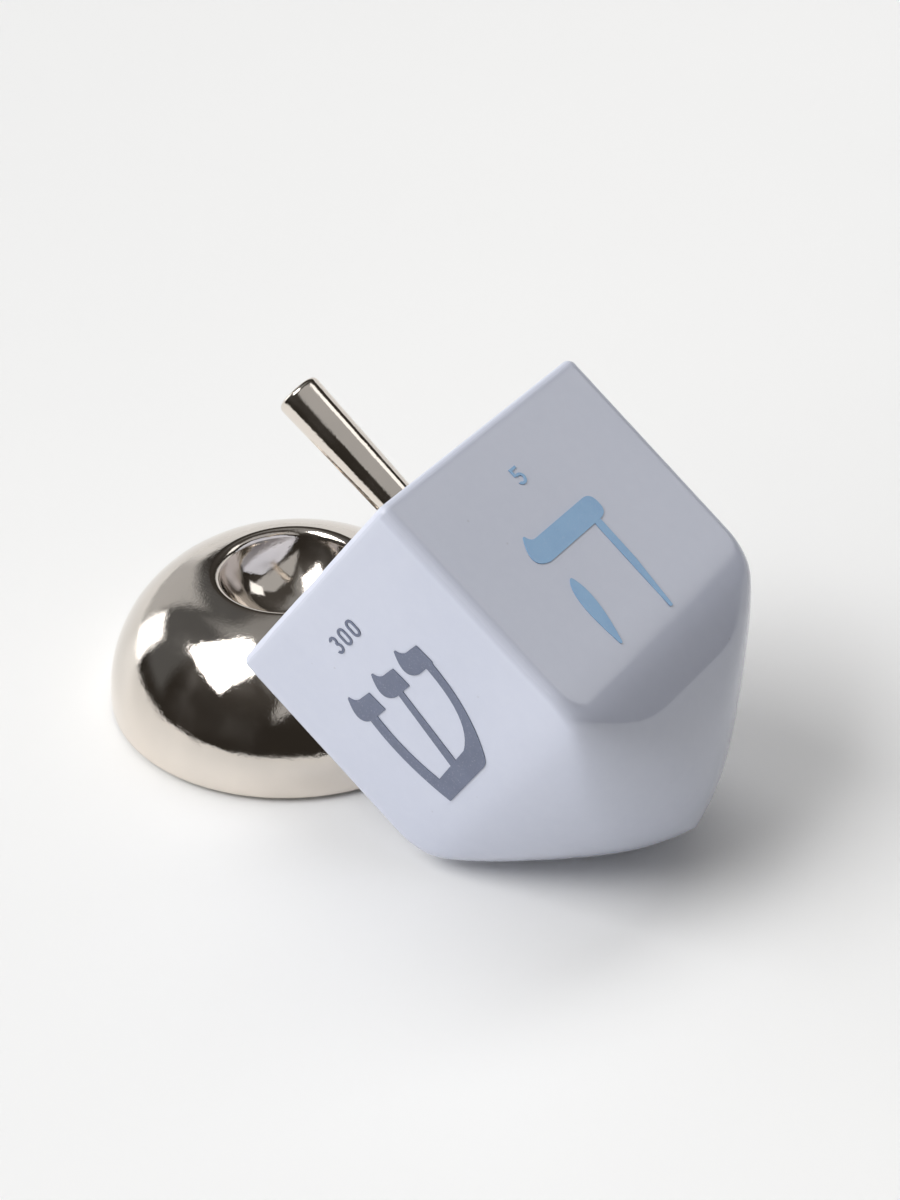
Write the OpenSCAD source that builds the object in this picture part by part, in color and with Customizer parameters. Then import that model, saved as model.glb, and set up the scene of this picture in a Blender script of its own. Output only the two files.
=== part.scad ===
// Porcelain dreidel with a plated stem, leaning on its plated dome stand.
// Millimetres, +Z up. The origin is the centre of the stand's felt base, on the table.
// +X runs from the stand towards the dreidel's tip, which lies on the table too.

/* [Porcelain body] */
// Width across two flat sides
body_w = 64; // [58:1:70]
// Height from the tip to the flat top
body_h = 85.2; // [78:0.2:92]
// Thickness of the cast wall
body_wall = 4; // [3:0.5:6]
// Radius of the four upright edges
edge_r = 2.2; // [2:0.1:5]
// Radius round the top edge
top_r = 1.8; // [0.8:0.1:2]
// Half angle of the tip at its end
tip_angle = 75.5; // [70:0.5:80]
// Angle between a flat side and the bowed flank where they meet
shoulder_angle = 11.5; // [8:0.5:16]
// Radius of the tip's blunt end
nose_r = 2.5; // [1.5:0.5:5]
// Depth over which the bowed flank blends into the sides
shoulder_blend = 1.2; // [0.6:0.1:2]
// Power by which the square shoulder turns round towards the tip
tip_turn = 4; // [2:0.1:6]

/* [Stem] */
// Diameter of the stem where it meets the body
stem_base_d = 8.2; // [7.6:0.1:9]
// Diameter of the stem at its free end
stem_end_d = 9.6; // [8.6:0.1:11]
// Length of the stem above the body
stem_len = 32; // [26:0.2:38]
// Radius round the stem's free end
stem_round = 1.2; // [0.4:0.1:2]
// Diameter of the spigot that goes into the body
spigot_d = 6.2; // [5:0.1:6.6]
// Length of the spigot
spigot_len = 12; // [8:0.5:18]
// Thickness of the cement between the spigot and its hole
cement_t = 0.3; // [0.15:0.05:0.4]

/* [Stand] */
// Diameter of the dome at its widest
stand_d = 80.8; // [74:0.2:88]
// Height of the cup's rim above the table, before it is rounded
stand_h = 31.2; // [28:0.2:35]
// Radius of the curve under the widest part
base_round = 1; // [0.9:0.1:2]
// Diameter of the cup at its rim
cup_d = 30.8; // [28:0.2:34]
// Depth of the cup below its rim
cup_depth = 12.5; // [10:0.5:14]
// Radius round the cup's rim
rim_round = 2; // [1:0.1:2.6]
// Thickness of the dome's wall
stand_wall = 0.8; // [0.5:0.1:0.8]
// Thickness of the felt pad
felt_t = 0.5; // [0.4:0.1:1]
// Width of the flange turned in under the dome
flange_w = 4; // [3:0.5:6]
// Distance from the edge of the flat foot to the felt
felt_inset = 1.2; // [0.6:0.1:2.4]

/* [Marks] */
// Height of a letter
letter_h = 29; // [24:0.5:32]
// Distance from the flat top down to the middle of a letter
letter_drop = 34.8; // [32:0.2:37]
// Height of a numeral
number_h = 4; // [3.4:0.2:5]
// Distance from the flat top down to the middle of a numeral
number_drop = 11.8; // [8:0.2:13]
// Distance of the marks from the middle of a side
mark_aside = -1; // [-3:0.2:3]
// Thickness of the fired transfers
transfer_t = 0.12; // [0.08:0.02:0.2]

/* [Lean] */
// Angle of the dreidel's axis from upright
lean_tilt = 53.4; // [49:0.2:59]
// Turn of the dreidel about its own axis
lean_roll = -2.6; // [-10:0.2:10]
// Distance of the dreidel's axis to the side of the stand's axis
lean_offset = -6.2; // [-14:0.2:12]
// Clear gap between the dome and the marks on the side that leans on it
lean_gap = 0.3; // [0.2:0.05:0.6]

/* [Hidden] */

porcelain_colour = "#d3d6e4";
plated_colour = "#c9c2b8";
cement_colour = "#e6dfc8";
slate_colour = "#5f6a8a";
sky_colour = "#6fa9d6";
board_colour = "#9a8467";
felt_colour = "#2b2b2e";

round_fn = 96;
side_steps = 4;      // pieces in half of a flat side
corner_steps = 5;    // pieces in an upright edge
nose_steps = 3;      // rings on the blunt end
flank_steps = 18;    // rings from the blunt end to the shoulder
blend_steps = 4;     // rings above the shoulder, where the flank still rounds the sides
top_steps = 4;       // rings round the top edge
curve_steps = 12;    // pieces in a letter's curve
pen_fn = 24;         // sides of the round that softens a letter's corners
skin_gap = 0.02;     // hairline between cemented or fired-on pieces
cut_over = 1;        // how far a cut runs past the face it opens
rim_cut = 4;         // how far the cut of the rim's corner reaches, in rounding radii

half_w = body_w / 2;

// Which side carries which mark, as quarter turns about the dreidel's axis
hei_side = 0;
gimel_side = 1;
nun_side = 2;
shin_side = 3;

// The flank's profile from the tip up, as [reach, height], for a body of that half width
nose_profile = [
    for (i = [1 : nose_steps])
        let (a = 90 - (90 - tip_angle) * i / nose_steps)
        [nose_r * cos(a), nose_r * (1 - sin(a))]
];
nose_end = nose_profile[nose_steps - 1];

function tip_bow(half) = (half - nose_end.x) / (cos(shoulder_angle) - cos(tip_angle));

function bowed(half, a) =
    nose_end + tip_bow(half) * [cos(a) - cos(tip_angle), sin(tip_angle) - sin(a)];

function profile(half) = concat(
    nose_profile,
    [for (i = [1 : flank_steps]) bowed(half, tip_angle + (shoulder_angle - tip_angle) * i / flank_steps)],
    [
        for (i = [1 : blend_steps])
            bowed(half, shoulder_angle) + shoulder_blend * i / blend_steps * [1, 1 / tan(shoulder_angle)]
    ]
);

// The smaller of two lengths, rounded off where they are within k of each other
function soft_min(a, b, k) = min(a, b) - pow(max(k - abs(a - b), 0), 2) / (4 * k);

function turned(p, a) = [p.x * cos(a) - p.y * sin(a), p.x * sin(a) + p.y * cos(a)];

// One side and one corner of a square with round corners, drawn in by inset
function quarter(half, inset) = concat(
    [for (i = [-side_steps : side_steps]) [half - inset, (half - edge_r) * i / side_steps]],
    [
        for (j = [1 : corner_steps - 1])
            let (a = 90 * j / corner_steps)
            [half - edge_r, half - edge_r] + (edge_r - inset) * [cos(a), sin(a)]
    ]
);

function section(half, inset) = [
    for (q = [0 : 3]) for (p = quarter(half, inset)) turned(p, 90 * q)
];

// How far a square with round corners reaches in the direction u
function square_reach(half, corner, u) =
    let (c = half - corner, m = max(abs(u.x), abs(u.y)), s = min(abs(u.x), abs(u.y)))
    half * s <= c * m ? half / m : c * (m + s) + sqrt(corner * corner - c * c * (m - s) * (m - s));

// A ring of the flank: square at the shoulder, ever rounder towards the tip
function flank_ring(half, reach, z) =
    let (
        w = soft_min(half, reach, shoulder_blend),
        corner = w * (1 - (1 - edge_r / half) * pow(w / half, tip_turn))
    )
    [for (p = section(half, 0)) let (u = p / norm(p), r = square_reach(w, corner, u)) [u.x * r, u.y * r, z]];

function top_ring(half, inset, z) = [for (p = section(half, inset)) [p.x, p.y, z]];

// Square above, bowed to a blunt point below: the points of the outside or of the cavity
function spindle_rings(half, lift, top) = concat(
    [for (p = profile(half)) flank_ring(half, p.x, p.y + lift)],
    [
        for (i = [0 : top_steps])
            let (a = 90 * i / top_steps)
            top_ring(half, top_r * (1 - cos(a)), top - top_r * (1 - sin(a)))
    ]
);

function joined(lists) = [for (l = lists) for (p = l) p];

function next_of(i, n) = (i + 1) % n;

module spindle(half, lift, top) {
    rings = spindle_rings(half, lift, top);
    n = len(rings[0]);
    last = len(rings) - 1;
    points = concat(joined(rings), [[0, 0, lift]]);
    pole = len(points) - 1;
    point_fan = [for (i = [0 : n - 1]) [pole, i, next_of(i, n)]];
    lower_halves = [
        for (k = [0 : last - 1]) for (i = [0 : n - 1])
            [k * n + i, (k + 1) * n + next_of(i, n), k * n + next_of(i, n)]
    ];
    upper_halves = [
        for (k = [0 : last - 1]) for (i = [0 : n - 1])
            [k * n + i, (k + 1) * n + i, (k + 1) * n + next_of(i, n)]
    ];
    top_face = [[for (i = [n - 1 : -1 : 0]) last * n + i]];
    polyhedron(points, concat(point_fan, lower_halves, upper_halves, top_face));
}

// The dome is one arc from its widest ring to the cup's rim
stand_r = stand_d / 2;
cup_r = cup_d / 2;
dome_z = felt_t + base_round;
dome_in = stand_r - cup_r;
dome_up = stand_h - dome_z;
dome_r = (dome_in * dome_in + dome_up * dome_up) / (2 * dome_in);
dome_c = stand_r - dome_r;
cup_ball_r = (cup_r * cup_r + cup_depth * cup_depth) / (2 * cup_depth);
cup_ball_z = stand_h - cup_depth + cup_ball_r;
foot_r = stand_r - base_round;
flange_r = foot_r - flange_w;
felt_r = foot_r - felt_inset;

// Centre of the rim's rounding: inside the dome's arc and outside the cup's
rim_a = dome_r - rim_round;
rim_b = cup_ball_r + rim_round;
rim_line = [dome_c, dome_z - cup_ball_z];
rim_span = norm(rim_line);
rim_along = (rim_b * rim_b - rim_a * rim_a + rim_span * rim_span) / (2 * rim_span);
rim_aside = sqrt(rim_b * rim_b - rim_along * rim_along);
rim_dir = rim_line / rim_span;
rim_centre = [0, cup_ball_z] + rim_along * rim_dir + rim_aside * [-rim_dir.y, rim_dir.x];
rim_on_dome = (rim_centre - [dome_c, dome_z]) / rim_a;
rim_on_cup = ([0, cup_ball_z] - rim_centre) / rim_b;
rim_peak = rim_centre + rim_cut * rim_round * (rim_on_dome + rim_on_cup);

// Where the dreidel lies: its lowest point on the table, one side against the dome
function height_leaning(p) =
    (p.x * cos(lean_roll) - p.y * sin(lean_roll)) * sin(lean_tilt) + p.z * cos(lean_tilt);
body_points = joined(spindle_rings(half_w, 0, body_h));
tip_z = -min([for (p = body_points) height_leaning(p)]);
under = [-cos(lean_roll) * cos(lean_tilt), -sin(lean_roll), -cos(lean_roll) * sin(lean_tilt)];
dome_reach = dome_c * norm([under.x, under.y]) - dome_z * under.z + dome_r;
side_reach = half_w + skin_gap + transfer_t + lean_gap;
tip_x = -(dome_reach + side_reach + lean_offset * under.y + tip_z * under.z) / under.x;

module leaning() {
    translate([tip_x, lean_offset, tip_z])
        rotate([0, -lean_tilt, 0])
            rotate([0, 0, lean_roll])
                children();
}

bore_r = spigot_d / 2 + cement_t;

module porcelain_body() {
    color(porcelain_colour) leaning() difference() {
        spindle(half_w, 0, body_h);
        spindle(half_w - body_wall, body_wall, body_h - body_wall);
        translate([0, 0, body_h - body_wall - cut_over])
            cylinder(h = body_wall + 2 * cut_over, r = bore_r, $fn = round_fn);
    }
}

module stem_outline() {
    base_r = stem_base_d / 2;
    end_r = stem_end_d / 2;
    straight = stem_len - stem_round;
    polygon([[0, 0], [base_r, 0], [end_r, straight], [0, straight]]);
    square([end_r - stem_round, stem_len]);
    translate([end_r - stem_round, straight]) circle(stem_round, $fn = round_fn);
    translate([0, -spigot_len]) square([spigot_d / 2, spigot_len]);
}

module stem() {
    color(plated_colour) leaning() translate([0, 0, body_h])
        rotate_extrude($fn = round_fn) stem_outline();
}

module stem_cement() {
    color(cement_colour) leaning() translate([0, 0, body_h - body_wall])
        rotate_extrude($fn = round_fn)
            translate([spigot_d / 2 + skin_gap, 0])
                square([cement_t - 2 * skin_gap, body_wall - skin_gap]);
}

// Strokes of the four letters, on a grid with its middle at the origin
letter_grid = 100;
pen_round = 1.1;     // radius of a letter's corners, on that grid

function bow(a, b, c) = [
    for (i = [0 : curve_steps])
        let (t = i / curve_steps)
        (1 - t) * (1 - t) * a + 2 * t * (1 - t) * b + t * t * c
];

module stroke(from, from_w, to, to_w) {
    polygon([from - [from_w / 2, 0], from + [from_w / 2, 0], to + [to_w / 2, 0], to - [to_w / 2, 0]]);
}

module crown(at) {
    translate(at) polygon(concat(
        bow([-7, 15], [-6, 7], [3, 7]), [[13, 6], [14, -10]], bow([-4, -9], [-22, -5], [-7, 15])
    ));
}

module hei_outline() {
    polygon(concat(
        bow([-33, 48], [-32, 41], [-26, 41]), bow([28, 41], [37, 41], [37, 32]),
        bow([37, 31], [37, 23], [28, 23]), bow([-30, 23], [-50, 27], [-33, 48])
    ));
    stroke([25, 26], 6.4, [24.6, -12], 6.4);
    stroke([24.6, -12], 6.4, [22.6, -51], 2.6);
    polygon(concat(bow([-27, 7], [-18, -11], [-33, -50]), bow([-33, -50], [-41, 0], [-27, 7])));
}

module shin_outline() {
    crown([-34, 36]);
    crown([2, 36]);
    crown([36, 36]);
    stroke([4, 30], 6, [-6, -36], 8);
    polygon(concat(bow([-40, 30], [-46, -6], [-35, -48]), bow([-28, -32], [-36, 0], [-31, 30])));
    polygon(concat(
        bow([49, 41], [50, -8], [24, -41]), bow([22, -43], [19, -46], [13, -46]),
        [[-35, -48], [-28, -32]], bow([12, -29], [40, -18], [41, 30])
    ));
}

module gimel_outline() {
    crown([1, 35]);
    stroke([5, 32], 7, [12, -50], 8);
    polygon(concat(bow([10, -12], [-4, -26], [-24, -32]), bow([-22, -50], [-4, -42], [11, -28])));
}

module nun_outline() {
    crown([1, 35]);
    stroke([5, 32], 7, [12, -40], 9);
    polygon(concat(bow([16, -34], [17, -50], [2, -50]), bow([-28, -50], [-25, -37], [-16, -35])));
}

// Numerals, on a grid with their middle at the origin
digit_grid = 10;
digit_w = 6;
digit_step = 9;
digit_stroke = 1.5;
digit_top = digit_grid / 2;
zero_half = digit_top - digit_w / 2;
three_upper_r = 2.7;
three_lower_r = 3.05;
three_mouth = [-2.8, 3.2];
five_w = 5;
five_bowl_r = 3.2;
five_mouth = [-2.9, 0.5];
five_foot = 0.3;

module loop(r) {
    difference() {
        circle(r, $fn = round_fn);
        circle(r - digit_stroke, $fn = round_fn);
    }
}

module oval(r, half) {
    translate([0, half]) circle(r, $fn = round_fn);
    translate([0, -half]) circle(r, $fn = round_fn);
    square([2 * r, 2 * half], center = true);
}

module mouth(span, reach) {
    translate([-digit_w, span[0]]) square([digit_w - reach, span[1] - span[0]]);
}

module digit_zero() {
    difference() {
        oval(digit_w / 2, zero_half);
        oval(digit_w / 2 - digit_stroke, zero_half);
    }
}

module digit_three() {
    difference() {
        union() {
            translate([0, digit_top - three_upper_r]) loop(three_upper_r);
            translate([0, three_lower_r - digit_top]) loop(three_lower_r);
        }
        mouth(three_mouth, 0);
    }
}

module digit_five() {
    translate([-five_w / 2, digit_top - digit_stroke]) square([five_w, digit_stroke]);
    translate([-five_w / 2, five_foot]) square([digit_stroke, digit_top - five_foot]);
    difference() {
        translate([0, five_bowl_r - digit_top]) loop(five_bowl_r);
        mouth(five_mouth, five_w / 2 - digit_stroke);
    }
}

// Fires a flat outline onto one side, at a depth below the top, with its grid drawn to height
module fired_on(side, height, grid, drop) {
    leaning() rotate([0, 0, 90 * side])
        translate([half_w + skin_gap, mark_aside, body_h - drop])
            rotate([90, 0, 90])
                linear_extrude(transfer_t) scale(height / grid) children();
}

module letter_on(side) {
    fired_on(side, letter_h, letter_grid, letter_drop)
        offset(r = pen_round, $fn = pen_fn) offset(delta = -pen_round) children();
}

module numeral_on(side) {
    fired_on(side, number_h, digit_grid, number_drop) children();
}

module letter_nun() {
    color(sky_colour) letter_on(nun_side) nun_outline();
}

module letter_gimel() {
    color(slate_colour) letter_on(gimel_side) gimel_outline();
}

module letter_hei() {
    color(sky_colour) letter_on(hei_side) hei_outline();
}

module letter_shin() {
    color(slate_colour) letter_on(shin_side) shin_outline();
}

module numeral_nun() {
    color(sky_colour) numeral_on(nun_side) {
        translate([-digit_step / 2, 0]) digit_five();
        translate([digit_step / 2, 0]) digit_zero();
    }
}

module numeral_gimel() {
    color(slate_colour) numeral_on(gimel_side) digit_three();
}

module numeral_hei() {
    color(sky_colour) numeral_on(hei_side) digit_five();
}

module numeral_shin() {
    color(slate_colour) numeral_on(shin_side) {
        translate([-digit_step, 0]) digit_three();
        digit_zero();
        translate([digit_step, 0]) digit_zero();
    }
}

// The half outline under the dome's arc, drawn in by inset all round
module dome_outline(inset) {
    intersection() {
        union() {
            translate([dome_c, dome_z]) circle(dome_r - inset, $fn = round_fn);
            translate([min(dome_c, 0), dome_z]) square([abs(dome_c), dome_r - inset]);
        }
        translate([0, dome_z]) square([stand_r, dome_r]);
    }
    intersection() {
        translate([foot_r, dome_z]) circle(base_round - inset, $fn = round_fn);
        translate([foot_r, felt_t]) square(base_round);
    }
    translate([0, felt_t + inset]) square([foot_r, base_round - inset]);
}

module rim_rounding() {
    translate(rim_centre) circle(rim_round, $fn = round_fn);
}

module rim_corner() {
    polygon([
        rim_centre, rim_centre + rim_round * rim_on_dome, rim_peak, rim_centre + rim_round * rim_on_cup
    ]);
}

module cup_ball(grow) {
    intersection() {
        translate([0, cup_ball_z]) circle(cup_ball_r + grow, $fn = round_fn);
        square([stand_r, stand_h + cup_ball_r]);
    }
}

module stand_outline() {
    difference() {
        dome_outline(0);
        cup_ball(0);
        rim_corner();
        difference() {
            dome_outline(stand_wall);
            cup_ball(stand_wall);
            translate(rim_centre) circle(rim_round + stand_wall, $fn = round_fn);
        }
        square([flange_r, felt_t + stand_wall + cut_over]);
    }
    rim_rounding();
}

module stand_dome() {
    color(plated_colour) rotate_extrude($fn = round_fn) stand_outline();
}

module stand_base_board() {
    color(board_colour) translate([0, 0, felt_t])
        cylinder(h = stand_wall, r = flange_r - skin_gap, $fn = round_fn);
}

module stand_felt() {
    color(felt_colour) cylinder(h = felt_t, r = felt_r, $fn = round_fn);
}

porcelain_body();
stem();
stem_cement();
letter_nun();
letter_gimel();
letter_hei();
letter_shin();
numeral_nun();
numeral_gimel();
numeral_hei();
numeral_shin();
stand_dome();
stand_base_board();
stand_felt();
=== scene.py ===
import math

import bpy
import numpy as np
from mathutils import Matrix, Vector, noise


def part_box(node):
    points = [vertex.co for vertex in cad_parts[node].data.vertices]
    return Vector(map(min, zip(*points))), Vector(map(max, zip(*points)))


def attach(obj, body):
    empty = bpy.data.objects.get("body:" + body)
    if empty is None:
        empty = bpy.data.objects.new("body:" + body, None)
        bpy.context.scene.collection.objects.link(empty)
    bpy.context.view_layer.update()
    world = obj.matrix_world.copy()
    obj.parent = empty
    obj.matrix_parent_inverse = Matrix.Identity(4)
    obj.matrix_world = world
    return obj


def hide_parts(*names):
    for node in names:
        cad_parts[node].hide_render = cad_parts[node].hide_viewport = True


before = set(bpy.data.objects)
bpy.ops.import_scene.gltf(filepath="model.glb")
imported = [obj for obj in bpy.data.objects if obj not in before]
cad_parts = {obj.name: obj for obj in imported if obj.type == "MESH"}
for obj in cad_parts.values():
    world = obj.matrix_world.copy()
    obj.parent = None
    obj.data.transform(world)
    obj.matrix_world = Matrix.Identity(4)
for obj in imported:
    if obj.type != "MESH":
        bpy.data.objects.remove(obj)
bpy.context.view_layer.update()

tiny = 1e-6  # metres, taken as no length at all
quarterTurn = math.pi / 2


class Wire:  # one socket, so that sums on values read as sums
    def __init__(self, bench, socket):
        self.bench = bench
        self.socket = socket

    def maths(self, operation, a, b):
        return self.bench.node("Math", {"operation": operation}, {0: a, 1: b})

    def __add__(self, other):
        return self.maths("ADD", self, other)

    def __radd__(self, other):
        return self.maths("ADD", other, self)

    def __sub__(self, other):
        return self.maths("SUBTRACT", self, other)

    def __rsub__(self, other):
        return self.maths("SUBTRACT", other, self)

    def __mul__(self, other):
        return self.maths("MULTIPLY", self, other)

    def __rmul__(self, other):
        return self.maths("MULTIPLY", other, self)

    def least(self, other):
        return self.maths("MINIMUM", self, other)


class Bench:  # a node tree, with one way to add a node
    def __init__(self, tree):
        self.tree = tree
        tree.nodes.clear()

    def node(self, kind, settings=None, values=None, out=0):
        made = self.tree.nodes.new("ShaderNode" + kind)
        for key, value in (settings or {}).items():
            setattr(made, key, value)
        for key, value in (values or {}).items():
            if isinstance(value, Wire):
                self.tree.links.new(value.socket, made.inputs[key])
            else:
                made.inputs[key].default_value = value
        return Wire(self, made.outputs[out]) if made.outputs else made

    def blend(self, share, a, b):  # 6 and 7 are the Mix node's colours, and 2 is the mixed one
        return self.node("Mix", {"data_type": "RGBA"}, {0: share, 6: a, 7: b}, out=2)

    def between(self, value, low, high):  # 0 below low, 1 above high, eased
        return self.node(
            "MapRange", {"interpolation_type": "SMOOTHSTEP"},
            {"Value": value, "From Min": low, "From Max": high, "To Min": 0.0, "To Max": 1.0},
        )

    def cloud(self, where, scale, detail, rough):
        return self.node(
            "TexNoise", {}, {"Vector": where, "Scale": scale, "Detail": detail, "Roughness": rough}
        )

    def bump(self, height, distance, strength=1.0, below=None):
        values = {"Height": height, "Distance": distance, "Strength": strength}
        if below is not None:
            values["Normal"] = below
        return self.node("Bump", {}, values)


def newFinish(name):
    finish = bpy.data.materials.new(name)
    finish.use_nodes = True
    bench = Bench(finish.node_tree)
    where = bench.node("TexCoord", out="Object")
    return finish, bench, where


def closeFinish(bench, values):
    surface = bench.node("BsdfPrincipled", {}, values)
    bench.node("OutputMaterial", {}, {"Surface": surface})


def rgb(red, green, blue):
    return (red, green, blue, 1.0)


# mesh helpers

def newPiece(name, points, faces, body, finish, stoodFor):
    mesh = bpy.data.meshes.new(name)
    mesh.from_pydata([tuple(p) for p in points], [], faces)
    mesh.validate()
    mesh.polygons.foreach_set("use_smooth", [True] * len(mesh.polygons))
    piece = bpy.data.objects.new(name, mesh)
    bpy.context.scene.collection.objects.link(piece)
    mesh.materials.append(finish)
    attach(piece, body)
    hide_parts(stoodFor)
    return piece


def skinned(rings, low, high):  # closed skin over rings of equal count, with a point at each end
    count = len(rings[0])
    points = [low] + [p for ring in rings for p in ring] + [high]
    last = len(points) - 1
    faces = [(0, 1 + (i + 1) % count, 1 + i) for i in range(count)]
    for k in range(len(rings) - 1):
        a, b = 1 + k * count, 1 + (k + 1) * count
        for i in range(count):
            j = (i + 1) % count
            faces.append((a + i, a + j, b + j, b + i))
    top = 1 + (len(rings) - 1) * count
    faces += [(last, top + i, top + (i + 1) % count) for i in range(count)]
    return points, faces


def turned(profile, count):  # rings of a lathe, from (radius, height) pairs
    angles = [2 * math.pi * i / count for i in range(count)]
    return [[(r * math.cos(a), r * math.sin(a), z) for a in angles] for r, z in profile]


def arc(centre, radius, start, end, steps):
    angles = [math.radians(start + (end - start) * i / steps) for i in range(steps + 1)]
    return [(centre[0] + radius * math.cos(a), centre[1] + radius * math.sin(a)) for a in angles]


# dreidel body, with the same formulas as the solid

body = dict(
    width=0.064, height=0.0852, wall=0.004, edge=0.0022, topRound=0.0018,
    tipAngle=75.5, shoulderAngle=11.5, noseRadius=0.0025, blend=0.0012, turn=4.0, bore=0.0034,
    wave=0.00004, waveSize=0.021, waveFade=0.012,  # how the cast walls sink in
    thinWidth=0.0022, thinStart=0.022, thinRise=0.020,  # where the glaze runs thin along the edges
    flatSteps=22, cornerSteps=12, noseSteps=6, flankSteps=60, blendSteps=16, sideSteps=24, topSteps=10,
    innerFlankSteps=24, innerTopSteps=4, topShares=(0.15, 0.4, 0.7, 0.92, 1.0), sharpAngle=50,
)
lean = dict(tilt=53.4, roll=-2.6, aside=-0.0062)  # degrees, and metres across the table
halfWidth = body["width"] / 2


def ringDirections():  # unit ways round a square, closer together at its corners
    flat, corner = halfWidth - body["edge"], body["edge"]
    half = body["flatSteps"] // 2
    steps = [math.sin(quarterTurn * i / half) for i in range(-half, half + 1)]
    side = [(halfWidth, flat * s) for s in steps]
    turns = [quarterTurn * j / body["cornerSteps"] for j in range(1, body["cornerSteps"])]
    side += [(flat + corner * math.cos(a), flat + corner * math.sin(a)) for a in turns]
    around = []
    for quarter in range(4):
        c, s = math.cos(quarter * quarterTurn), math.sin(quarter * quarterTurn)
        around += [(x * c - y * s, x * s + y * c) for x, y in side]
    around = np.array(around)
    return around / np.linalg.norm(around, axis=1)[:, None]


directions = ringDirections()


def squareRing(half, corner, z):  # a square with round corners, one point each way
    flat = half - corner
    big = np.abs(directions).max(axis=1)
    small = np.abs(directions).min(axis=1)
    bent = flat * (big + small) + np.sqrt(np.maximum(corner ** 2 - (flat * (big - small)) ** 2, 0))
    reach = np.where(half * small <= flat * big, half / big, bent)
    return np.column_stack([directions * reach[:, None], np.full(len(directions), z)])


def softMin(a, b, k):  # the lesser of two, eased where they are within k
    return min(a, b) - max(k - abs(a - b), 0) ** 2 / (4 * k)


def flankRing(half, reach, z):  # its corners go round towards the tip
    width = softMin(half, reach, body["blend"])
    corner = width * (1 - (1 - body["edge"] / half) * (width / half) ** body["turn"])
    return squareRing(width, corner, z)


def flankProfile(half, steps):  # (reach, height) from the tip to above the shoulder
    tip, shoulder = math.radians(body["tipAngle"]), math.radians(body["shoulderAngle"])
    nose = body["noseRadius"]
    found = []
    for i in range(1, body["noseSteps"] + 1):
        a = quarterTurn - (quarterTurn - tip) * i / body["noseSteps"]
        found.append((nose * math.cos(a), nose * (1 - math.sin(a))))
    x0, z0 = found[-1]
    bow = (half - x0) / (math.cos(shoulder) - math.cos(tip))
    for i in range(1, steps + 1):
        a = tip + (shoulder - tip) * i / steps
        found.append((x0 + bow * (math.cos(a) - math.cos(tip)), z0 + bow * (math.sin(tip) - math.sin(a))))
    x1, z1 = found[-1]
    for i in range(1, body["blendSteps"] + 1):
        rise = body["blend"] * i / body["blendSteps"]
        found.append((x1 + rise, z1 + rise / math.tan(shoulder)))
    return found


def bodyRings():  # from the tip up to the rounded top edge
    outer = [flankRing(halfWidth, r, z) for r, z in flankProfile(halfWidth, body["flankSteps"])]
    start, end = outer[-1][0][2], body["height"] - body["topRound"]
    for i in range(1, body["sideSteps"] + 1):
        outer.append(squareRing(halfWidth, body["edge"], start + (end - start) * i / body["sideSteps"]))
    for i in range(1, body["topSteps"] + 1):
        a = quarterTurn * i / body["topSteps"]
        inset = body["topRound"] * (1 - math.cos(a))
        z = end + body["topRound"] * math.sin(a)
        outer.append(squareRing(halfWidth - inset, body["edge"] - inset, z))
    return outer


def hollowRings():  # the flat top, the pouring hole and the cavity
    top, under = body["height"], body["height"] - body["wall"]
    rim = squareRing(halfWidth - body["topRound"], body["edge"] - body["topRound"], top)
    hole = np.column_stack([directions * body["bore"], np.full(len(directions), top)])
    found = [rim + (hole - rim) * share for share in body["topShares"]]
    low = hole.copy()
    low[:, 2] = under
    inner = halfWidth - body["wall"]
    ceiling = squareRing(inner - body["topRound"], body["edge"] - body["topRound"], under)
    found += [low, (low + ceiling) / 2, ceiling]
    for i in range(1, body["innerTopSteps"] + 1):
        a = quarterTurn * i / body["innerTopSteps"]
        inset = body["topRound"] * (1 - math.sin(a))
        z = under - body["topRound"] * (1 - math.cos(a))
        found.append(squareRing(inner - inset, body["edge"] - inset, z))
    profile = [(r, z + body["wall"]) for r, z in flankProfile(inner, body["innerFlankSteps"])]
    return found + [flankRing(inner, r, z) for r, z in reversed(profile)]


def leanTurn():  # turns the dreidel about its own axis, then tips it over
    tilt, roll = math.radians(lean["tilt"]), math.radians(lean["roll"])
    turn = np.array([[math.cos(roll), -math.sin(roll), 0], [math.sin(roll), math.cos(roll), 0], [0, 0, 1]])
    tip = np.array([[math.cos(tilt), 0, -math.sin(tilt)], [0, 1, 0], [math.sin(tilt), 0, math.cos(tilt)]])
    return tip @ turn


outerRings = bodyRings()
lowBox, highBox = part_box("porcelain_body")
tipped = np.vstack(outerRings) @ leanTurn().T
restPlace = np.array([highBox.x - tipped[:, 0].max(), lean["aside"], lowBox.z - tipped[:, 2].min()])
print("dreidel tip at", [round(float(v), 5) for v in restPlace])


def leaning(points):  # from the dreidel's own axes to the place where it rests
    return np.asarray(points) @ leanTurn().T + restPlace


def waved(ring):  # cast walls are never quite flat, so they sink in a little
    moved = ring.copy()
    for i, p in enumerate(ring):
        swell = noise.noise(Vector(p) / body["waveSize"]) * 0.5 + 0.5
        out = np.array([p[0], p[1], 0.0])
        length = np.linalg.norm(out)
        if length > tiny:
            moved[i] -= out / length * swell * body["wave"] * min(1.0, length / body["waveFade"])
    return moved


def thinGlaze(points):  # 1 along the edges, where glaze runs thin
    p = np.asarray(points)
    inPlan = np.sort(np.abs(p[:, :2]), axis=1)
    fromEdge = halfWidth - inPlan[:, 0]
    fromTop = body["height"] - p[:, 2]
    rising = np.clip((p[:, 2] - body["thinStart"]) / body["thinRise"], 0, 1)
    upright = np.exp(-(fromEdge / body["thinWidth"]) ** 2) * rising
    brim = np.exp(-(fromTop / body["thinWidth"]) ** 2)
    return np.maximum(upright, brim)


# a finish's clouds are scale, detail and roughness, and its spans are low and high

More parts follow.
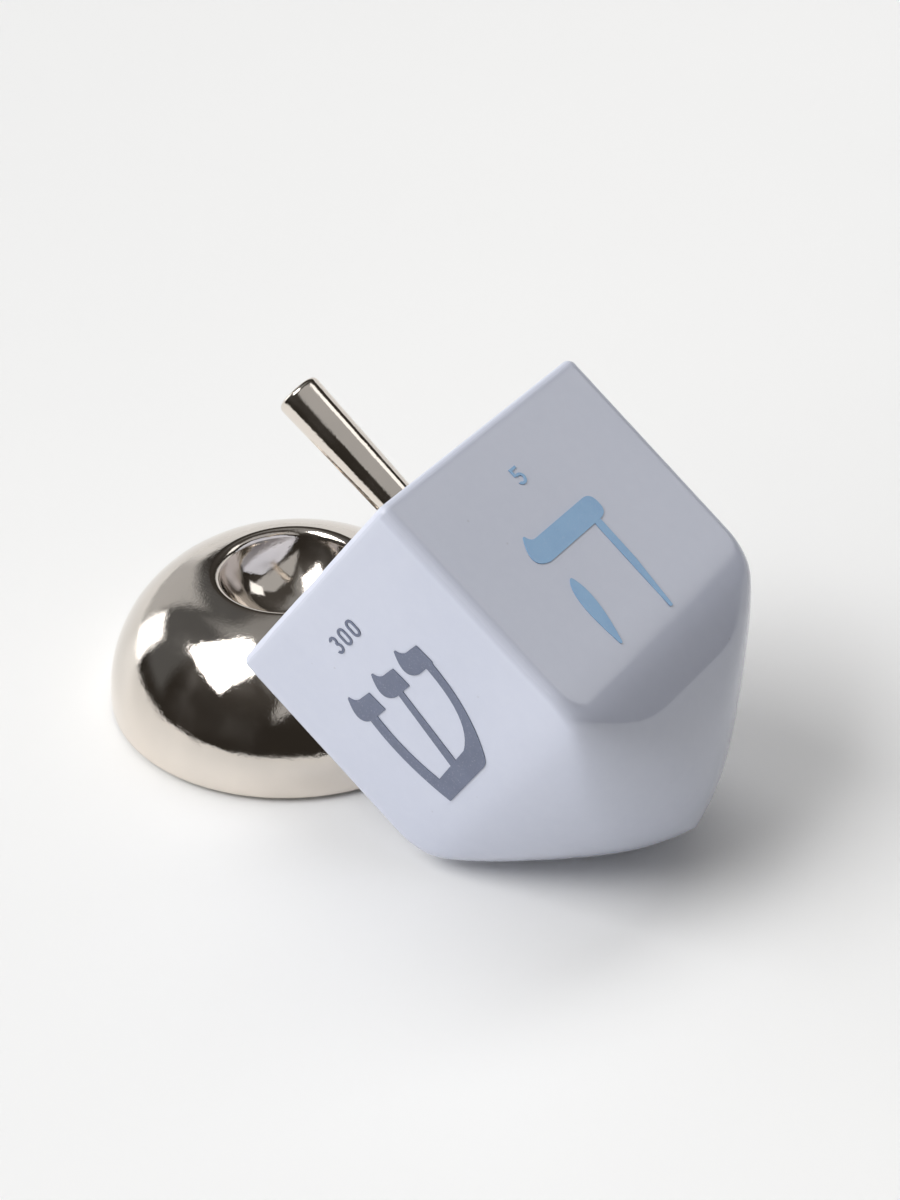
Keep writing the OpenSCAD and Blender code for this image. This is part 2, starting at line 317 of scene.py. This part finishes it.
glaze = dict(
    pale=rgb(0.570, 0.598, 0.704), deep=rgb(0.546, 0.576, 0.684), thin=rgb(0.655, 0.678, 0.765),
    speck=rgb(0.36, 0.36, 0.40), mottleTint=0.10, thinTint=0.35, speckTint=0.30,
    drift=(26.0, 3.0, 0.5), mottle=(420.0, 3.0, 0.6), smear=(60.0, 4.0, 0.55), peel=(330.0, 2.0, 0.5),
    chance=(95.0, 0.0, 0.5), speckScale=210.0,
    driftSpan=(0.30, 0.70), mottleSpan=(0.35, 0.75), smearSpan=(0.40, 0.80),
    speckSpan=(0.03, 0.075), chanceSpan=(0.60, 0.66),
    gloss=0.055, smearRough=0.05, mottleRough=0.02, thinRough=0.25,
    coat=0.55, thinCoat=0.9, coatRough=0.03, ior=1.5,
    peelDepth=0.000006, pitDepth=0.000012, pitStrength=0.6,
)


def porcelainFinish():
    finish, bench, where = newFinish("glazed_porcelain")
    drift = bench.cloud(where, *glaze["drift"])
    mottle = bench.cloud(where, *glaze["mottle"])
    smear = bench.cloud(where, *glaze["smear"])
    thin = bench.node("Attribute", {"attribute_name": "thinGlaze"}, out="Fac")
    cells = bench.node("TexVoronoi", {"feature": "F1"}, {"Vector": where, "Scale": glaze["speckScale"]})
    chance = bench.between(bench.cloud(where, *glaze["chance"]), *glaze["chanceSpan"])
    speck = (1 - bench.between(cells, *glaze["speckSpan"])) * chance
    tone = bench.blend(bench.between(drift, *glaze["driftSpan"]), glaze["pale"], glaze["deep"])
    mottled = bench.between(mottle, *glaze["mottleSpan"]) * glaze["mottleTint"]
    tone = bench.blend(mottled, tone, glaze["thin"])
    tone = bench.blend(thin * glaze["thinTint"], tone, glaze["thin"])
    tone = bench.blend(speck * glaze["speckTint"], tone, glaze["speck"])
    rough = glaze["gloss"] + bench.between(smear, *glaze["smearSpan"]) * glaze["smearRough"]
    rough = rough + mottle * glaze["mottleRough"] + thin * glaze["thinRough"]
    peel = bench.bump(bench.cloud(where, *glaze["peel"]), glaze["peelDepth"])
    pits = bench.bump(1 - speck, glaze["pitDepth"], glaze["pitStrength"], below=peel)
    closeFinish(bench, {
        "Base Color": tone, "Roughness": rough, "IOR": glaze["ior"], "Normal": pits,
        "Coat Weight": glaze["coat"] * (1 - thin * glaze["thinCoat"]), "Coat Roughness": glaze["coatRough"],
    })
    return finish


def makeBody():
    rings = [waved(r) for r in outerRings] + hollowRings()
    local, faces = skinned(rings, (0.0, 0.0, 0.0), (0.0, 0.0, body["wall"]))
    local = np.array([tuple(p) for p in local])
    piece = newPiece(
        "porcelain_shell", leaning(local), faces, "dreidel", porcelainFinish(), "porcelain_body"
    )
    thin = piece.data.attributes.new("thinGlaze", "FLOAT", "POINT")
    thin.data.foreach_set("value", thinGlaze(local).astype(np.float32))
    piece.data.set_sharp_from_angle(angle=math.radians(body["sharpAngle"]))


makeBody()
print("porcelain body made")


# plated stem and dome stand

silver = dict(
    warm=rgb(0.790, 0.725, 0.655), cool=rgb(0.725, 0.672, 0.612),
    drift=(55.0, 4.0, 0.5), grain=(1700.0, 3.0, 0.65), breath=(120.0, 5.0, 0.6), dents=(150.0, 3.0, 0.55),
    driftSpan=(0.30, 0.70), grainSpan=(0.60, 0.80), wornSpan=(0.42, 0.66),
    gloss=0.045, wornRough=0.06, grainRough=0.04,
    dentDepth=0.000045, pitDepth=0.000030, pitsClean=0.30, pitsWorn=0.70,
)


def platingFinish():
    finish, bench, where = newFinish("silver_plating")
    drift = bench.cloud(where, *silver["drift"])
    grain = bench.cloud(where, *silver["grain"])
    worn = bench.between(bench.cloud(where, *silver["breath"]), *silver["wornSpan"])
    tone = bench.blend(bench.between(drift, *silver["driftSpan"]), silver["warm"], silver["cool"])
    rough = silver["gloss"] + worn * silver["wornRough"]
    rough = rough + bench.between(grain, *silver["grainSpan"]) * silver["grainRough"]
    dents = bench.bump(bench.cloud(where, *silver["dents"]), silver["dentDepth"])
    pitted = grain * (silver["pitsClean"] + worn * silver["pitsWorn"])
    pits = bench.bump(pitted, silver["pitDepth"], below=dents)
    closeFinish(bench, {"Base Color": tone, "Roughness": rough, "Metallic": 1.0, "Normal": pits})
    return finish


plating = platingFinish()
wobbleFade = 0.003  # metres from the axis over which a wobble dies out


def wobbled(points, size, depth):  # drawn in towards the axis by up to depth
    moved = []
    for x, y, z in points:
        swell = noise.noise(Vector((x, y, z)) / size) * 0.5 + 0.5
        length = math.hypot(x, y)
        draw = swell * depth * min(1.0, length / wobbleFade)
        share = 1 - draw / length if length > tiny else 1.0
        moved.append((x * share, y * share, z))
    return moved


stem = dict(
    base=0.0041, end=0.0048, length=0.032, round=0.0012, bevel=0.0002,
    dish=0.00012, dishShares=(0.8, 0.5, 0.2),  # a shallow hollow in the free end
    spigot=0.0031, spigotLength=0.012, spigotChamfer=0.0006, spigotRing=0.004,
    wobble=0.00005, wobbleSize=0.008, taperSteps=40, roundSteps=10, count=96, sharpAngle=40,
)


def makeStem():
    spigot, low = stem["spigot"], -stem["spigotLength"]
    straight, bevel = stem["length"] - stem["round"], stem["bevel"]
    profile = [(spigot - stem["spigotChamfer"], low), (spigot, low + stem["spigotChamfer"])]
    profile += [(spigot, -stem["spigotRing"]), (spigot, 0.0)]
    profile += [(stem["base"] - bevel, 0.0), (stem["base"], bevel)]
    for i in range(1, stem["taperSteps"] + 1):
        share = i / stem["taperSteps"]
        reach = stem["base"] + (stem["end"] - stem["base"]) * share
        profile.append((reach, bevel + (straight - bevel) * share))
    crown = stem["end"] - stem["round"]
    profile += arc((crown, straight), stem["round"], 0, 90, stem["roundSteps"])[1:]
    profile += [(crown * s, stem["length"] - stem["dish"] * (1 - s)) for s in stem["dishShares"]]
    end = (0, 0, stem["length"] - stem["dish"])
    points, faces = skinned(turned(profile, stem["count"]), (0, 0, low), end)
    points = np.array(wobbled(points, stem["wobbleSize"], stem["wobble"]))
    points[:, 2] += body["height"]  # up to the flat top of the body
    piece = newPiece("plated_stem", leaning(points), faces, "dreidel", plating, "stem")
    piece.data.set_sharp_from_angle(angle=math.radians(stem["sharpAngle"]))


stand = dict(
    radius=0.0404, height=0.0312, baseRound=0.001, cupRadius=0.0154, cupDepth=0.0125, rimRound=0.002,
    wall=0.0008, felt=0.0005, flange=0.004, flangeStep=0.0004, flatShare=0.97, cupFloorAngle=-89.5,
    wobble=0.00011, wobbleSize=0.012, count=256, sharpAngle=40,
    baseSteps=10, domeSteps=90, rimSteps=20, cupSteps=48,
    innerCupSteps=24, innerDomeSteps=40, innerBaseSteps=6,
)


def rimPlace(domeX, domeZ, domeR, ballZ, ballR):  # centre of the rim's rounding
    a, b = domeR - stand["rimRound"], ballR + stand["rimRound"]
    line = np.array([domeX, domeZ - ballZ])
    span = np.linalg.norm(line)
    along = (b * b - a * a + span * span) / (2 * span)
    aside = math.sqrt(b * b - along * along)
    way = line / span
    return np.array([0, ballZ]) + along * way + aside * np.array([-way[1], way[0]])


def makeDome():  # the dome is an arc about (domeX, domeZ), the cup a ball about (0, ballZ)
    domeZ = stand["felt"] + stand["baseRound"]
    inward, upward = stand["radius"] - stand["cupRadius"], stand["height"] - domeZ
    domeR = (inward ** 2 + upward ** 2) / (2 * inward)
    domeX = stand["radius"] - domeR
    ballR = (stand["cupRadius"] ** 2 + stand["cupDepth"] ** 2) / (2 * stand["cupDepth"])
    cupLow = stand["height"] - stand["cupDepth"]
    ballZ = cupLow + ballR
    rim = rimPlace(domeX, domeZ, domeR, ballZ, ballR)
    onDome = math.degrees(math.atan2(rim[1] - domeZ, rim[0] - domeX))
    onCup = math.degrees(math.atan2(ballZ - rim[1], -rim[0]))
    cupEnd = math.degrees(math.atan2(rim[1] - ballZ, rim[0]))
    foot, wall = stand["radius"] - stand["baseRound"], stand["wall"]
    flange, ledge = foot - stand["flange"], stand["felt"] + wall
    inside = arc((0, ballZ), ballR + wall, stand["cupFloorAngle"], cupEnd, stand["innerCupSteps"])
    inside += arc((domeX, domeZ), domeR - wall, onDome, 0, stand["innerDomeSteps"])
    inside += arc((foot, domeZ), stand["baseRound"] - wall, 0, -90, stand["innerBaseSteps"])[1:]
    inside.append((flange + stand["flangeStep"], ledge))
    outside = [(flange, ledge), (flange, stand["felt"]), (foot * stand["flatShare"], stand["felt"])]
    outside += arc((foot, domeZ), stand["baseRound"], -90, 0, stand["baseSteps"])
    outside += arc((domeX, domeZ), domeR, 0, onDome, stand["domeSteps"])[1:]
    outside += arc(rim, stand["rimRound"], onDome, onCup, stand["rimSteps"])[1:]
    outside += arc((0, ballZ), ballR, cupEnd, stand["cupFloorAngle"], stand["cupSteps"])[1:]
    rings = turned(inside + outside, stand["count"])
    points, faces = skinned(rings, (0, 0, cupLow - wall), (0, 0, cupLow))
    points = wobbled(points, stand["wobbleSize"], stand["wobble"])
    faces = [tuple(reversed(f)) for f in faces]  # this skin runs from the inside out
    piece = newPiece("mirror_dome", points, faces, "stand", plating, "stand_dome")
    piece.data.set_sharp_from_angle(angle=math.radians(stand["sharpAngle"]))


makeStem()
makeDome()
print("plated stem and dome made")


# felt pad

felt = dict(
    radius=0.0382, thick=stand["felt"], round=0.00018, ragged=0.00006, raggedSize=0.0016,
    shares=(0.25, 0.5, 0.75, 0.92), roundSteps=4, count=160,
    dark=rgb(0.018, 0.018, 0.022), tip=rgb(0.060, 0.058, 0.064), flat=rgb(0.030, 0.028, 0.030), flatTint=0.4,
    nap=(2600.0, 4.0, 0.7), matted=(240.0, 3.0, 0.5), napSpan=(0.3, 0.7), mattedSpan=(0.45, 0.75),
    rough=0.95, sheen=0.4, fuzzDepth=0.0003, fuzzStrength=0.8,
)


def feltFinish():
    finish, bench, where = newFinish("dark_felt")
    nap = bench.cloud(where, *felt["nap"])
    matted = bench.between(bench.cloud(where, *felt["matted"]), *felt["mattedSpan"])
    tone = bench.blend(bench.between(nap, *felt["napSpan"]), felt["dark"], felt["tip"])
    tone = bench.blend(matted * felt["flatTint"], tone, felt["flat"])
    fuzz = bench.bump(nap, felt["fuzzDepth"], felt["fuzzStrength"])
    closeFinish(bench, {
        "Base Color": tone, "Roughness": felt["rough"], "Sheen Weight": felt["sheen"], "Normal": fuzz,
    })
    return finish


def makeFelt():
    rounded, thick = felt["round"], felt["thick"]
    edge = felt["radius"] - rounded
    profile = [(felt["radius"] * s, 0.0) for s in felt["shares"]]
    profile += arc((edge, rounded), rounded, -90, 0, felt["roundSteps"])
    profile += arc((edge, thick - rounded), rounded, 0, 90, felt["roundSteps"])
    profile += [(felt["radius"] * s, thick) for s in reversed(felt["shares"])]
    points, faces = skinned(turned(profile, felt["count"]), (0, 0, 0), (0, 0, thick))
    points = wobbled(points, felt["raggedSize"], felt["ragged"])
    newPiece("felt_pad", points, faces, "stand", feltFinish(), "stand_felt")


makeFelt()
print("felt pad made")


# finishes for the solids that stay: fired marks, base board and cement

transfer = dict(
    slate=(rgb(0.108, 0.129, 0.204), rgb(0.094, 0.113, 0.182)),
    sky=(rgb(0.222, 0.425, 0.675), rgb(0.198, 0.390, 0.645)),
    bare=rgb(0.62, 0.65, 0.74), bareTint=0.16,
    drift=(170.0, 3.0, 0.6), stipple=(2400.0, 2.0, 0.6),
    driftSpan=(0.35, 0.70), bareSpan=(0.55, 0.80), roughSpan=(0.40, 0.80),
    gloss=0.09, stippleRough=0.07, coat=0.5, coatRough=0.05, stippleDepth=0.0000015,
)
board = dict(
    pale=rgb(0.34, 0.25, 0.155), deep=rgb(0.27, 0.20, 0.125), warm=rgb(0.38, 0.29, 0.19), warmTint=0.4,
    stretch=(1.0, 6.0, 1.0), strands=(620.0, 4.0, 0.65), drift=(90.0, 3.0, 0.5),
    strandSpan=(0.35, 0.70), driftSpan=(0.40, 0.70), rough=0.9, strandDepth=0.00005, strandStrength=0.7,
)
cement = dict(
    pale=rgb(0.80, 0.75, 0.60), deep=rgb(0.66, 0.61, 0.48), grit=(1800.0, 4.0, 0.7), gritSpan=(0.35, 0.70),
    rough=0.85, gritDepth=0.00004, gritStrength=0.7,
)


def transferFinish(hue):
    finish, bench, where = newFinish(hue + "_transfer")
    light, dark = transfer[hue]
    drift = bench.cloud(where, *transfer["drift"])
    stipple = bench.cloud(where, *transfer["stipple"])
    bare = bench.between(stipple, *transfer["bareSpan"]) * transfer["bareTint"]
    tone = bench.blend(bench.between(drift, *transfer["driftSpan"]), light, dark)
    tone = bench.blend(bare, tone, transfer["bare"])
    rough = transfer["gloss"] + bench.between(stipple, *transfer["roughSpan"]) * transfer["stippleRough"]
    closeFinish(bench, {
        "Base Color": tone, "Roughness": rough, "Normal": bench.bump(stipple, transfer["stippleDepth"]),
        "Coat Weight": transfer["coat"], "Coat Roughness": transfer["coatRough"],
    })
    return finish


def boardFinish():
    finish, bench, where = newFinish("grey_board")
    along = bench.node("Mapping", {}, {"Vector": where, "Scale": board["stretch"]})
    strands = bench.cloud(along, *board["strands"])
    drift = bench.between(bench.cloud(where, *board["drift"]), *board["driftSpan"])
    tone = bench.blend(bench.between(strands, *board["strandSpan"]), board["pale"], board["deep"])
    tone = bench.blend(drift * board["warmTint"], tone, board["warm"])
    fibre = bench.bump(strands, board["strandDepth"], board["strandStrength"])
    closeFinish(bench, {"Base Color": tone, "Roughness": board["rough"], "Normal": fibre})
    return finish


def cementFinish():
    finish, bench, where = newFinish("pale_cement")
    grit = bench.cloud(where, *cement["grit"])
    tone = bench.blend(bench.between(grit, *cement["gritSpan"]), cement["pale"], cement["deep"])
    grain = bench.bump(grit, cement["gritDepth"], cement["gritStrength"])
    closeFinish(bench, {"Base Color": tone, "Roughness": cement["rough"], "Normal": grain})
    return finish


slate = transferFinish("slate")
sky = transferFinish("sky")
nodeFinishes = {"stand_base_board": boardFinish(), "stem_cement": cementFinish()}
for letter, finish in dict(nun=sky, gimel=slate, hei=sky, shin=slate).items():
    nodeFinishes["letter_" + letter] = finish
    nodeFinishes["numeral_" + letter] = finish
for nodeName, finish in nodeFinishes.items():
    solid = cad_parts[nodeName]
    solid.data.materials.clear()
    solid.data.materials.append(finish)
print("finishes set on", len(nodeFinishes), "nodes")


# floor

floor = dict(
    radius=4.0, drop=0.0002, count=96, rings=(0.02, 0.08, 0.2, 0.5, 1.2, 2.5),
    pale=rgb(0.886, 0.886, 0.881), dull=rgb(0.872, 0.873, 0.869),
    drift=(3.0, 3.0, 0.5), driftSpan=(0.3, 0.7), haze=(14.0, 3.0, 0.5),
    rough=0.38, hazeRough=0.10, specular=0.15,
    front=0.19, fade=0.05,  # for what is mirrored, the floor ends here
)


def floorFinish():
    finish, bench, where = newFinish("white_floor")
    drift = bench.cloud(where, *floor["drift"])
    haze = bench.cloud(where, *floor["haze"])
    tone = bench.blend(bench.between(drift, *floor["driftSpan"]), floor["pale"], floor["dull"])
    rough = floor["rough"] + haze * floor["hazeRough"]
    table = bench.node("BsdfPrincipled", {}, {
        "Base Color": tone, "Roughness": rough, "Specular IOR Level": floor["specular"],
    })
    glossy = bench.node("LightPath", out="Is Glossy Ray")
    ahead = -1 * bench.node("SeparateXYZ", {}, {"Vector": where}, out="Y")
    gone = glossy * bench.between(ahead, floor["front"], floor["front"] + floor["fade"])
    clear = bench.node("BsdfTransparent")
    surface = bench.node("MixShader", {}, {0: gone, 1: table, 2: clear})
    bench.node("OutputMaterial", {}, {"Surface": surface})
    return finish


def makeFloor():
    count, drop = floor["count"], floor["drop"]
    rings = turned([(r, -drop) for r in floor["rings"] + (floor["radius"],)], count)
    points = [(0, 0, -drop)] + [p for ring in rings for p in ring]
    faces = [(0, 1 + i, 1 + (i + 1) % count) for i in range(count)]
    for k in range(len(rings) - 1):
        a, b = 1 + k * count, 1 + (k + 1) * count
        faces += [(a + i, b + i, b + (i + 1) % count, a + (i + 1) % count) for i in range(count)]
    mesh = bpy.data.meshes.new("floor")
    mesh.from_pydata(points, [], faces)
    mesh.materials.append(floorFinish())
    ground = bpy.data.objects.new("floor", mesh)
    bpy.context.scene.collection.objects.link(ground)


makeFloor()
print("floor made")


# studio: soft panels round a dark room, given by azimuth from the front and height above the horizon

studio = dict(
    room=rgb(0.030, 0.026, 0.022), ceiling=rgb(0.070, 0.064, 0.058), rise=(0.30, 0.85),
    wall=rgb(0.90, 0.90, 0.895),  # what the camera sees past the floor
    panels=dict(  # softness and four corners
        back=(0.10, ((170, 40), (175, 78), (275, 78), (280, 38))),
        left=(0.08, ((-125, 8), (-120, 58), (-60, 58), (-55, 8))),
        front=(0.06, ((-48, 4), (-44, 30), (8, 28), (10, 4))),
        low=(0.06, ((136, -20), (136, 12), (236, 12), (236, -20))),
        high=(0.03, ((135, 30), (134, 49), (156, 50), (156, 31))),
        card=(0.03, ((-104, 4), (-96, 30), (-76, 29), (-68, 3))),
        key=(0.012, ((-76, 43), (-56, 68), (2, 43), (-45, 26))),
        backSheen=(0.12, ((200, 50), (200, 78), (275, 80), (280, 56))),
        sheet=(0.06, ((-136, -12), (-122, 18), (-104, 42), (-96, -12))),
        glow=(0.10, ((-92, 52), (-100, 80), (10, 82), (14, 52))),
        blind=(0.03, ((22, 25), (30, 62), (140, 66), (146, 30))),
        slimCard=(0.03, ((-99, -8), (-98, 20), (-82, 22), (-81, -8))),
        window=(0.02, ((-66, 39), (-73, 71), (-6, 64), (-20, 35))),
    ),
    lights=dict(back=3.2, left=0.60, front=2.0, low=0.60, high=0.60, card=2.0, key=6.0),  # fall on surfaces
    mirrors=dict(  # show in gloss and plating
        backSheen=0.26, left=0.10, sheet=0.50, glow=0.32, blind=0.46,
        low=0.80, high=1.40, slimCard=2.4, window=6.0,
    ),
)


def towards(azimuth, height):  # degrees to a way in the sky
    a, h = math.radians(azimuth), math.radians(height)
    return Vector((math.sin(a) * math.cos(h), -math.cos(a) * math.cos(h), math.sin(h)))


def panelShare(bench, way, soft, corners):  # 1 inside a four-cornered panel of the sky
    points = [towards(*c) for c in corners]
    middle = sum(points, Vector()).normalized()
    nearest = None
    for a, b in zip(points, points[1:] + points[:1]):
        edge = a.cross(b).normalized()
        if edge.dot(middle) < 0:
            edge = -edge
        depth = bench.node("VectorMath", {"operation": "DOT_PRODUCT"}, {0: way, 1: edge}, out="Value")
        nearest = depth if nearest is None else nearest.least(depth)
    return bench.between(nearest, -soft, soft)


def makeStudio():
    world = bpy.data.worlds.new("studio")
    bpy.context.scene.world = world
    world.use_nodes = True
    bench = Bench(world.node_tree)
    way = bench.node("TexCoord", out="Generated")
    height = bench.node("SeparateXYZ", {}, {"Vector": way}, out="Z")
    dim = bench.blend(bench.between(height, *studio["rise"]), studio["room"], studio["ceiling"])
    shares = {name: panelShare(bench, way, *panel) for name, panel in studio["panels"].items()}
    tones = {}
    for side in ("lights", "mirrors"):
        tones[side] = dim
        for name, level in studio[side].items():
            tones[side] = bench.blend(shares[name], tones[side], rgb(level, level, level))
    glossy = bench.node("LightPath", out="Is Glossy Ray")
    straight = bench.node("LightPath", out="Is Camera Ray")
    tone = bench.blend(straight, bench.blend(glossy, tones["lights"], tones["mirrors"]), studio["wall"])
    surface = bench.node("Background", {}, {"Color": tone, "Strength": 1.0})
    bench.node("OutputWorld", {}, {"Surface": surface})


makeStudio()
print("studio lit")


# camera

shot = dict(
    place=(0.30919, -0.38803, 0.35852), azimuth=34.6535, elevation=34.1882, roll=-1.101,
    lens=84.0, sensor=36.0, near=0.01, far=50.0,  # the sensor lies along the picture's long side
)


def makeCamera():
    data = bpy.data.cameras.new("camera")
    data.sensor_fit = "AUTO"
    data.sensor_width = shot["sensor"]
    data.lens = shot["lens"]
    data.clip_start = shot["near"]
    data.clip_end = shot["far"]
    camera = bpy.data.objects.new("camera", data)
    camera.location = shot["place"]
    turn = Matrix.Rotation(math.radians(shot["azimuth"]), 3, "Z")
    turn @= Matrix.Rotation(math.radians(90 - shot["elevation"]), 3, "X")
    turn @= Matrix.Rotation(math.radians(shot["roll"]), 3, "Z")
    camera.rotation_euler = turn.to_euler()
    bpy.context.scene.collection.objects.link(camera)
    bpy.context.scene.camera = camera


makeCamera()
bpy.context.scene.view_settings.view_transform = "Standard"
bpy.context.view_layer.update()
